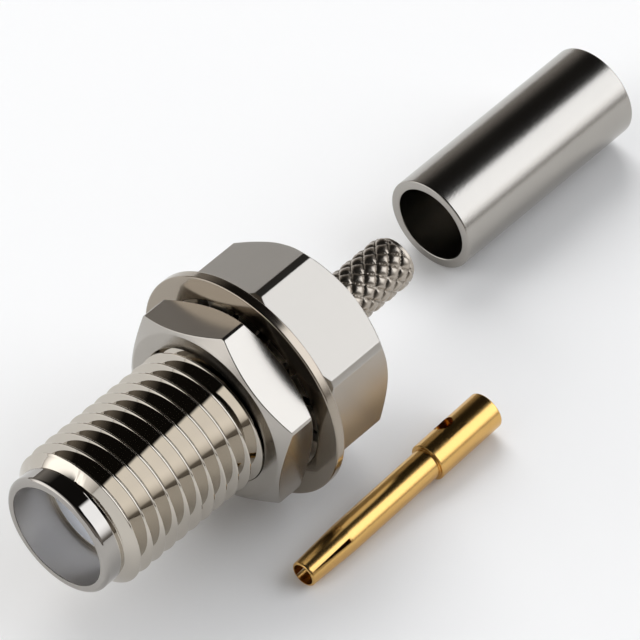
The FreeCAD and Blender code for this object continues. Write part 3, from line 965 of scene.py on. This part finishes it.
@dataclass
class CentreContact(SubAssembly):
    """Gold contact: slotted, tapered socket in front and a crimp pot with an inspection hole."""

    tip_radius: float = 0.576
    radius: float = 0.684
    taper: float = 2.39
    shaft: float = 7.56
    pot_radius: float = 0.849
    length: float = 11.22
    edge: float = 0.07
    inner_edge: float = 0.05
    socket_radius: float = 0.48
    socket_depth: float = 3.2
    pot_bore: float = 0.58
    pot_depth: float = 3.1
    pot_front: float = 0.3
    bore_front: float = 0.7
    pot_rear: float = 0.2
    slot_width: float = 0.19
    slot_pinch: float = 0.02
    slot_length: float = 2.29
    slot_turn: float = 40.5
    slot_steps: int = 5
    tip_rows: int = 5
    finger_front: float = 0.12
    finger_rows: int = 24
    finger_steps: int = 40
    wall_rows: tuple[int, int] = (36, 32)
    hole_columns: int = 64
    hole_rows: int = 4
    hole_radius: float = 0.43
    hole_place: float = 1.56
    hole_turn: float = 127.0
    hole_margin: float = 0.08
    hole_margin_turn: float = 0.12
    hole_rings: tuple[float, ...] = (0.0, 0.35, 0.65, 0.88, 1.0)
    x: float = 5.816
    y: float = 7.885
    yaw: float = 0.52

    @property
    def lay(self) -> Placement:
        """It lies on its tip and on the edge of its pot."""
        dip = math.atan((self.pot_radius - self.tip_radius) / self.shaft)
        lift = GROUND + self.tip_radius * math.cos(dip)
        return Placement((self.x, self.y, lift), self.yaw, math.degrees(dip))

    @property
    def hole_centre(self) -> Pair:
        """The turn and the place of the inspection hole's middle."""
        return math.radians(self.hole_turn), self.shaft + self.hole_place

    def outer(self, along: Array | float) -> Array:
        """Radius of the fingers: rounded at the tip, then a straight taper to the shaft."""
        straight = self.tip_radius + (self.radius - self.tip_radius) * along / self.taper
        nose = self.edge - np.sqrt(np.maximum(self.edge**2 - np.maximum(self.edge - along, 0) ** 2, 0))
        return np.minimum(straight, self.radius) - nose

    def gap(self, along: Array | float, radius: Array | float) -> Array:
        """Half the slot as an angle: its width grows in a straight line from the tip."""
        width = self.slot_pinch + (self.slot_width - self.slot_pinch) * along / self.slot_length
        return np.arcsin(np.clip(width / 2 / radius, 0, 0.9))

    def finger(self, side: float) -> list[Patch]:
        """Half a tube between the slots.

        Args:
            side: the angle of the finger's middle.

        Returns:
            Its walls, from outer arc to inner arc and back, and its front.
        """
        tip = self.edge * (1 - np.cos(np.linspace(0, QUARTER_TURN, self.tip_rows)))
        straight = np.linspace(self.finger_front, self.slot_length, self.finger_rows)
        along = np.concatenate([tip, straight])
        share = np.linspace(-1, 1, self.finger_steps + 1)
        arcs = []
        for radius, way in ((self.outer(along), share), (np.full_like(along, self.socket_radius), -share)):
            angles = side + way * (QUARTER_TURN - self.gap(along, radius))[:, None]
            arcs.append(polar(radius[:, None], along[:, None], angles))
        front = np.stack([arcs[1][0, ::-1], arcs[0][0]])
        return [Patch(np.concatenate(arcs, axis=1)), Patch(front, closed=False)]

    def slot_arc(self, radius: float) -> Array:
        """The steps across a slot's end, as angles from its middle."""
        half = float(self.gap(self.slot_length, radius))
        return np.linspace(-half, half, self.slot_steps)

    def columns(self, radius: float) -> Array:
        """Angles of a whole tube of some radius, which continue those of the fingers at the slots' end."""
        slot = self.slot_arc(radius)
        arc = np.linspace(-1, 1, self.finger_steps + 1) * (QUARTER_TURN - slot[-1])
        middles = math.radians(self.slot_turn) + QUARTER_TURN * np.arange(1, 5)
        steps = (arc, slot[1:-1]) * 2
        return np.concatenate([middle + part for middle, part in zip(middles, steps, strict=True)])

    def slot_ends(self, joint: float) -> list[Patch]:
        """The flat end of each slot, between the bore and the outside."""
        walls = []
        for side in (0.0, math.pi):
            middle = math.radians(self.slot_turn) + side
            radii = (self.socket_radius, joint)
            rows = [polar(radius, self.slot_length, middle + self.slot_arc(radius)) for radius in radii]
            walls.append(Patch(np.stack(rows), closed=False))
        return walls

    def pierced(self, radius: float, stations: Array, columns: Array, outward: bool) -> list[Patch]:
        """A tube wall with a round hole drilled through it from the side.

        Cells near the hole give way to rings that pass from the rim of a rectangle of cells to the hole,
        where place = h cos t and turn = asin(h sin t / r).

        Args:
            radius: the wall's radius.
            stations: places along the axis, rising.
            columns: the angles of the wall.
            outward: whether the wall faces away from the axis.

        Returns:
            The wall, in three strips, and the rings.
        """
        centre_turn, centre_place = self.hole_centre
        turn = np.sort((columns - centre_turn + math.pi) % FULL_TURN - math.pi)
        near = np.abs(turn) < math.asin(self.hole_radius / self.pot_bore) + self.hole_margin_turn
        high = np.abs(stations - centre_place) < self.hole_radius + self.hole_margin
        (first, last), (low, top) = ((np.argmax(m) - 1, len(m) - np.argmax(m[::-1])) for m in (near, high))
        grid = around(np.full(len(stations), radius), stations, turn + centre_turn)
        right, up = np.arange(first, last), np.arange(low, top)
        rows = np.concatenate([0 * right + low, up, 0 * right + top, up[::-1] + 1])
        across = np.concatenate([right, 0 * up + last, right[::-1] + 1, 0 * up + first])
        rim_turn, rim_place = turn[across], stations[rows] - centre_place
        bearing = np.arctan2(rim_turn * self.pot_radius, rim_place)
        hole_turn = np.arcsin(self.hole_radius * np.sin(bearing) / radius)
        share = np.array(self.hole_rings)[:, None]
        ring_turn = rim_turn + share * (hole_turn - rim_turn) + centre_turn
        ring_place = rim_place + share * (self.hole_radius * np.cos(bearing) - rim_place) + centre_place
        ring = polar(radius, ring_place, ring_turn)
        beyond = np.concatenate([grid[:, last:], grid[:, : first + 1]], axis=1)
        beside = grid[:, first : last + 1]
        strips = [(beyond, False), (beside[: low + 1], False), (beside[top:], False), (ring[:, ::-1], True)]
        return [Patch(points if outward else points[:, ::-1], closed=closed) for points, closed in strips]

    def hole_wall(self) -> Patch:
        """The side of the inspection hole, from the pot's bore out to its outside."""
        centre_turn, centre_place = self.hole_centre
        bearing = even_angles(self.hole_columns)
        radii = np.linspace(self.pot_bore, self.pot_radius, self.hole_rows)[:, None]
        turn = centre_turn + np.arcsin(self.hole_radius * np.sin(bearing) / radii)
        return Patch(polar(radii, centre_place + self.hole_radius * np.cos(bearing), turn))

    def patches(self) -> list[Patch]:
        """Fingers, shaft, shoulder, pierced pot and both bores."""
        turn = math.radians(self.slot_turn)
        joint = float(self.outer(self.slot_length))
        columns = self.columns(joint)
        shoulder, floor, rim = self.shaft, self.length - self.pot_depth, self.length - self.pot_rear
        pot, bore, socket = self.pot_radius, self.pot_bore, self.socket_radius
        outside_from, inside_from = shoulder + self.pot_front, shoulder + self.bore_front
        shaft = [(joint, self.slot_length), (self.radius, self.taper), (self.radius, shoulder)]
        shaft += [(pot - EDGE_BREAK, shoulder), (pot, shoulder + EDGE_BREAK), (pot, outside_from)]
        rear = [(pot, rim), (pot, self.length), (bore, self.length), (bore, rim)]
        pot_end = [(bore, inside_from), (bore, floor), (0.0, floor)]
        socket_line = [(0.0, self.socket_depth), (socket, self.socket_depth), (socket, self.slot_length)]
        outer_places = np.linspace(outside_from, rim, self.wall_rows[0])
        inner_places = np.linspace(inside_from, rim, self.wall_rows[1])
        made = [
            *self.finger(turn + QUARTER_TURN),
            *self.finger(turn + 3 * QUARTER_TURN),
            *self.slot_ends(joint),
            Patch(turned(shaft, EDGE_BREAK, columns)),
            *self.pierced(pot, outer_places, columns, outward=True),
            Patch(turned(rear, self.edge, columns)),
            *self.pierced(bore, inner_places, columns, outward=False),
            Patch(turned(pot_end, self.inner_edge, columns)),
            Patch(turned(socket_line, self.inner_edge, self.columns(socket))),
            self.hole_wall(),
        ]
        return [Patch(self.lay.apply(patch.points), patch.zone, patch.closed) for patch in made]

    def finishes(self) -> list[Finish]:
        """Polished gold plating."""
        return [Metal("contact_gold", (0.72, 0.445, 0.15), 0.22, turning=0.12, grain=0.14, lay=self.lay)]


def towards(azimuth: float, elevation: float) -> Vector:
    """The direction of a bearing, from -Y (0) towards +X (90), and a height above the horizon, in degrees."""
    turn, rise = math.radians(azimuth), math.radians(elevation)
    return Vector((math.sin(turn) * math.cos(rise), -math.cos(turn) * math.cos(rise), math.sin(rise)))


@dataclass(frozen=True)
class Lamp:
    """A square far lamp that only matt surfaces see, with a power of its radiance times pi times its area.

    Args:
        name: the lamp's name.
        azimuth: its bearing in degrees, from -Y (0) towards +X (90).
        elevation: above the horizon, in degrees.
        side: its width and height, in millimetres.
        radiance: its brightness where 1 is white.
        distance: from the object, in millimetres.
    """

    name: str
    azimuth: float
    elevation: float
    side: float
    radiance: float
    distance: float = 1500.0

    def build(self, target: Vector) -> bpy.types.Object:
        """Make the lamp, turned towards the target."""
        lamp = bpy.data.lights.new(self.name, "AREA")
        lamp.shape = "SQUARE"
        lamp.size = self.side * MM
        lamp.energy = self.radiance * math.pi * lamp.size**2
        direction = towards(self.azimuth, self.elevation)
        placed = new_object(self.name, lamp)
        placed.location = target + direction * self.distance * MM
        placed.rotation_euler = direction.to_track_quat("Z", "Y").to_euler()
        placed.visible_camera = placed.visible_glossy = False
        return placed


@dataclass(frozen=True)
class Panel:
    """A large far softbox, painted into the room as a rectangle whose four edges fade.

    Seen along its axis, a direction has a place to the right and upwards, each as a tangent. Each edge is
    a pair: where the brightness starts to fall, and where it has gone.

    Args:
        azimuth: bearing of its middle, in degrees.
        elevation: height of its middle, in degrees.
        left: the left edge, seen from the object, and right, low and high alike.
        radiance: its brightness where 1 is white.
        colour: its colour, linear.
    """

    azimuth: float
    elevation: float
    left: Pair
    right: Pair
    low: Pair
    high: Pair
    radiance: float
    colour: Colour = (1.0, 1.0, 1.0)

    def draw(self, sheet: NodeSheet, where: Socket) -> Socket:
        """Its light for a direction, as a colour."""
        axis = towards(self.azimuth, self.elevation)
        right = axis.cross(UP).normalized()
        facing = sheet.dot(where, axis)
        ahead = sheet.math("MAXIMUM", facing, 0.001)
        mask = sheet.math("GREATER_THAN", facing, 0.01)
        sides = ((right, self.left, self.right), (right.cross(axis), self.low, self.high))
        for direction, *edges in sides:
            place = sheet.math("DIVIDE", sheet.dot(where, direction), ahead)
            for start, gone in edges:
                mask = sheet.math("MULTIPLY", mask, sheet.fade(place, gone, start))
        light = sheet.add("ShaderNodeVectorMath", operation="SCALE")
        sheet.feed(light.inputs[0], [self.radiance * part for part in self.colour])
        return sheet.put(light, Scale=mask).outputs[0]


@dataclass
class Studio:
    """Pale floor, dim room with soft panels, lamps for matt surfaces and the camera."""

    floor_size: float = 6000.0
    floor_grey: float = 0.93
    horizon: Colour = (1.0, 0.93, 0.86)
    middle: tuple[float, float, float] = (0.0, 14.0, -1.0)
    azimuth: float = 41.879
    elevation: float = 47.382
    distance: float = 257.1
    lens: float = 362.58
    aim: tuple[float, float, float] = (0.0, 12.0, 0.0)
    aim_right: float = 2.2549
    aim_up: float = 1.8756

    def floor(self) -> bpy.types.Object:
        """One large pale matt sheet under the pieces."""
        ends = np.array([-0.5, 0.5]) * self.floor_size
        x, y = np.meshgrid(ends, ends, indexing="ij")
        points = np.stack([x, y, np.full_like(x, GROUND)], axis=-1)
        sheet = build_mesh("floor", [Patch(points[::-1], closed=False)])
        sheet.data.materials.append(Paper("floor_paper", (self.floor_grey,) * 3, 1.0).material())
        return sheet

    def surroundings(self) -> None:
        """A dim warm room, lighter towards the horizon, with the panels that polished metal shows."""
        world = bpy.data.worlds.new("room")
        bpy.context.scene.world = world
        world.use_nodes = True
        sheet = NodeSheet(world.node_tree)
        where = sheet.add("ShaderNodeTexCoord").outputs["Generated"]
        levels = [(0.0, 0.22), (0.16, 0.34), (0.34, 0.20), (0.58, 0.015), (1.0, 0.01)]
        total = sheet.vector("MULTIPLY", sheet.ramp(sheet.dot(where, UP), levels), self.horizon)
        for panel in (
            Panel(132.0, 41.0, (-0.50, -0.75), (0.27, 0.33), (-0.28, -0.90), (0.27, 0.36), 2.2, COOL_WHITE),
            Panel(-36.0, 12.0, (-0.35, -0.90), (0.30, 1.25), (-0.03, -0.34), (0.15, 0.55), 1.8),
        ):
            total = sheet.vector("ADD", total, panel.draw(sheet, where))
        background = sheet.put(sheet.add("ShaderNodeBackground"), Color=total, Strength=1.0)
        sheet.put(sheet.add("ShaderNodeOutputWorld"), Surface=background.outputs[0])

    def lamps(self) -> None:
        """Even light for matt surfaces, strongest from behind."""
        for lamp in (
            Lamp("back_light", 238.0, 42.0, 1140.0, 3.75),
            Lamp("overhead", 200.0, 82.0, 1750.0, 0.57),
            Lamp("front_light", 335.0, 30.0, 1260.0, 1.05),
        ):
            lamp.build(Vector(self.middle) * MM)

    def camera(self) -> bpy.types.Object:
        """A long lens at the photograph's direction."""
        back = towards(self.azimuth, self.elevation)
        right = UP.cross(back).normalized()
        above = back.cross(right)
        target = Vector(self.aim) + right * self.aim_right + above * self.aim_up
        data = bpy.data.cameras.new("camera")
        data.lens = self.lens
        data.sensor_width = 36.0
        data.clip_start, data.clip_end = 0.01, 20.0
        placed = new_object("camera", data)
        placed.location = (target + back * self.distance) * MM
        placed.rotation_euler = Matrix((right, above, back)).transposed().to_euler()
        bpy.context.scene.camera = placed
        return placed

    def build(self) -> None:
        """Set up the whole studio."""
        bpy.context.scene.view_settings.view_transform = "Standard"
        self.floor()
        self.surroundings()
        self.lamps()
        self.camera()


def main() -> None:
    """Dress every piece of the frame and set the studio."""
    logging.basicConfig(level=logging.INFO, format="%(message)s")
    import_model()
    for part in (
        JackBody("jack_body", "connector_body", "shell", "body_nickel"),
        Sleeve("white_insulator", "insulator", "shell", "insulator_white"),
        PanelNut("panel_nut", "hex_nut", "nut", "nut_nickel"),
        LockWasher("tooth_washer", "lock_washer", "washer", "washer_nickel"),
        CrimpFerrule("crimp_tube", "crimp_ferrule", "shell", "ferrule_nickel"),
        CentreContact("gold_contact", "center_contact", "shell", "contact_gold"),
    ):
        part.build()
    Studio().build()
    bpy.context.view_layer.update()


if __name__ == "__main__":
    main()
